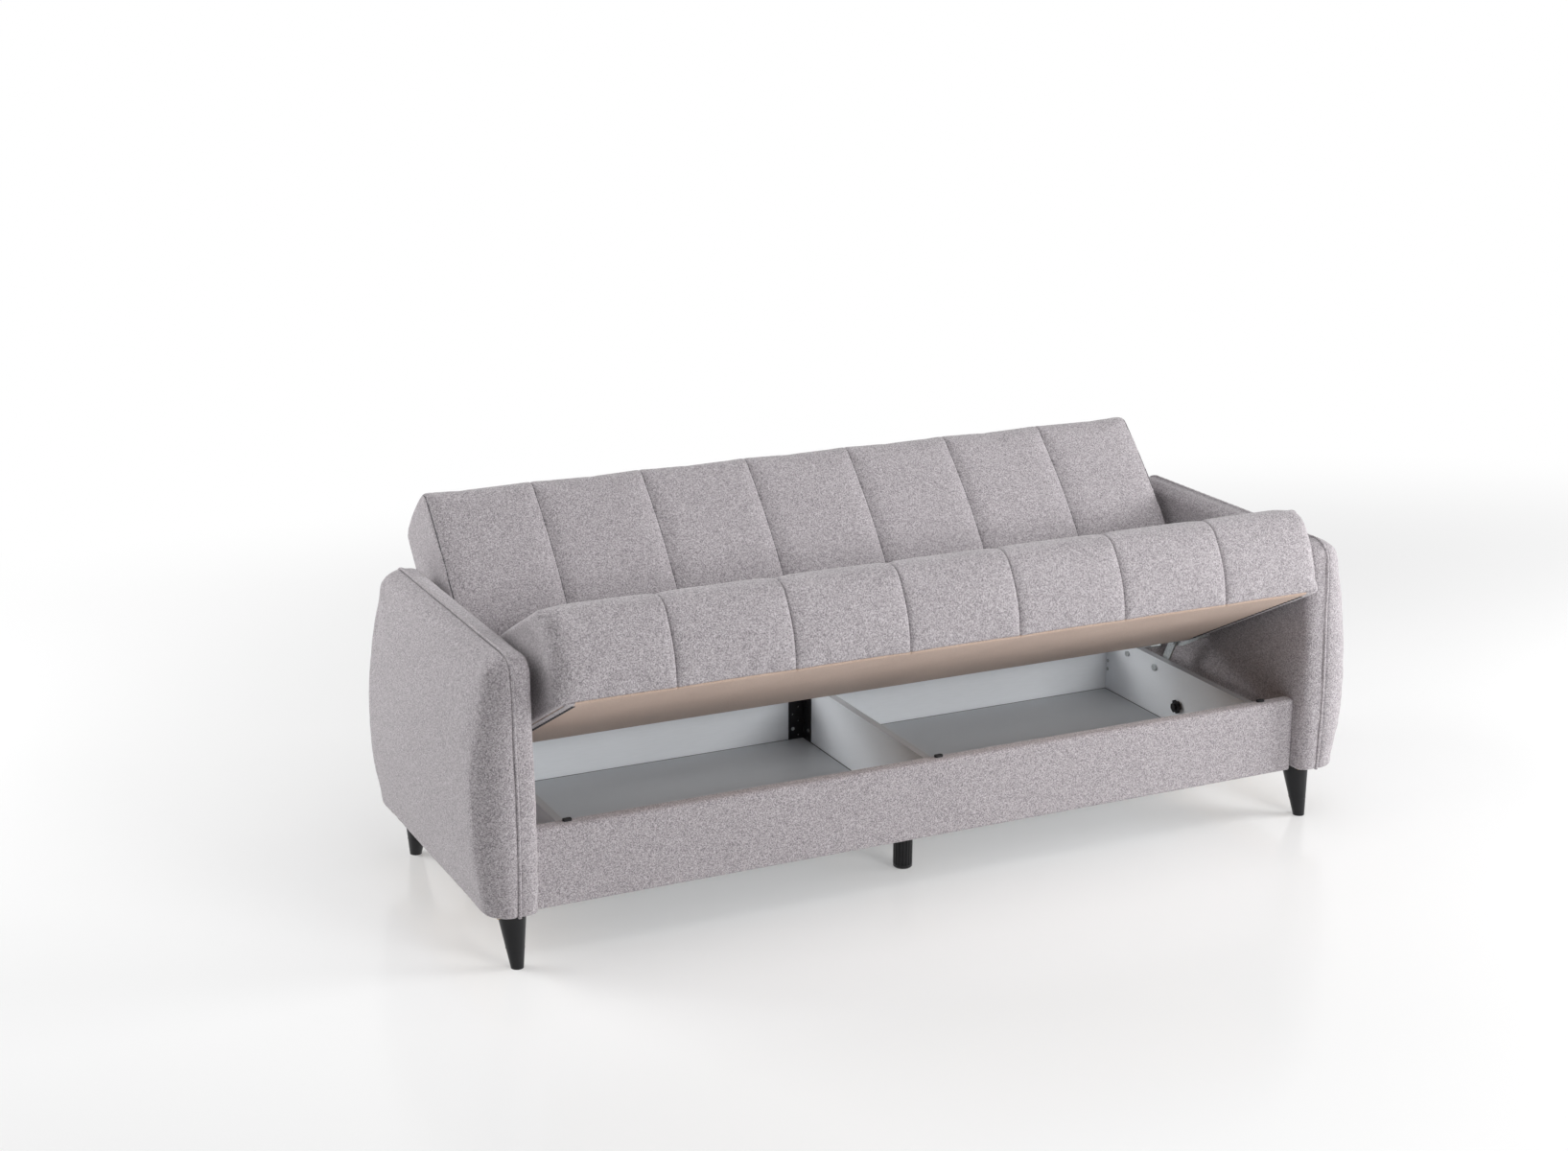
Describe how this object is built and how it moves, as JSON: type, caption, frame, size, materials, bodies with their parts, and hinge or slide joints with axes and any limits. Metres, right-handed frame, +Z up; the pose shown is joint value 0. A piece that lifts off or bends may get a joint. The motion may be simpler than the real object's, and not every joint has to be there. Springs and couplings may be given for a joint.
{
  "type": "sofa bed",
  "caption": "Three-seat sofa bed with channelled seat and back, rounded arms, splayed legs and a lift-up storage box, shown with the seat lifted.",
  "frame": {"origin": "on the floor under the middle of the whole sofa bed, at the pictured pose", "axes": "+X to the sitter's left along the width, +Y from front to rear, +Z up"},
  "size_m": [2.1742, 0.9685, 0.8384],
  "materials": {
    "upholstery": "grey-mauve woven upholstery",
    "lining": "brown-beige woven lining",
    "white_board": "white laminated board",
    "raw_wood": "raw board and softwood",
    "black_plastic": "satin black",
    "black_steel": "black powder coat",
    "rubber": "black rubber",
    "webbing": "elastic webbing",
    "zinc_steel": "zinc plated"
  },
  "bodies": {
    "base": {"front_rail_board": "raw_wood", "front_rail_cover": "upholstery", "rail_buffers": "rubber", "box_wall_right": "white_board", "box_wall_left": "white_board", "box_divider": "white_board", "box_rear_panel": "white_board", "box_floor_right": "white_board", "box_floor_left": "white_board", "floor_bearers": "raw_wood", "corner_angle": "black_steel", "corner_angle_bolts": "zinc_steel", "box_screws": "zinc_steel", "arm_spacers": "raw_wood", "arm_knobs": "black_plastic", "arm_knob_studs": "zinc_steel", "arm_core_board_right": "raw_wood", "arm_base_board_right": "raw_wood", "arm_inner_pad_right": "upholstery", "arm_outer_pad_right": "upholstery", "arm_piping_right": "upholstery", "arm_core_board_left": "raw_wood", "arm_base_board_left": "raw_wood", "arm_inner_pad_left": "upholstery", "arm_outer_pad_left": "upholstery", "arm_piping_left": "upholstery", "leg_front_right": "black_plastic", "leg_front_left": "black_plastic", "leg_rear_right": "black_plastic", "leg_rear_left": "black_plastic", "leg_plates": "zinc_steel", "leg_studs": "zinc_steel", "centre_foot": "black_plastic", "centre_foot_plate": "zinc_steel", "base_bracket_right": "zinc_steel", "base_bracket_left": "zinc_steel", "lift_pivot_bolts": "zinc_steel", "base_bracket_bolts": "zinc_steel", "back_pivot_pins": "zinc_steel"},
    "lift_links": {"lift_link_right": "zinc_steel", "lift_link_left": "zinc_steel", "seat_pivot_pins": "zinc_steel"},
    "seat": {"seat_cushion": "upholstery", "seat_long_rails": "raw_wood", "seat_end_rails": "raw_wood", "seat_cross_rails": "raw_wood", "seat_webbing": "webbing", "seat_bracket_screws": "zinc_steel", "seat_lining": "lining", "seat_bracket_right": "zinc_steel", "seat_bracket_left": "zinc_steel"},
    "back": {"back_rear_cover": "lining", "back_long_rails": "raw_wood", "back_boards": "raw_wood", "back_webbing": "webbing", "back_bracket_screws": "zinc_steel", "back_cushion": "upholstery", "back_bracket_right": "zinc_steel", "back_bracket_left": "zinc_steel"}
  },
  "joints": [
    {"name": "link_swing", "type": "hinge", "parent": "base", "child": "lift_links", "pos_m": [0, 0.06469, 0.258], "axis": [1, 0, 0], "range_deg": [-77.48, 0.2]},
    {"name": "seat_lift", "type": "hinge", "parent": "lift_links", "child": "seat", "pos_m": [0, 0.02511, 0.33469], "axis": [1, 0, 0], "range_deg": [0, 105.18]},
    {"name": "back_recline", "type": "hinge", "parent": "base", "child": "back", "pos_m": [0, 0.06269, 0.498], "axis": [-1, 0, 0], "range_deg": [-25, 49]}
  ],
  "couplings": [
    {"joint": "link_swing", "follows": "seat_lift", "ratio": -0.73473}
  ]
}
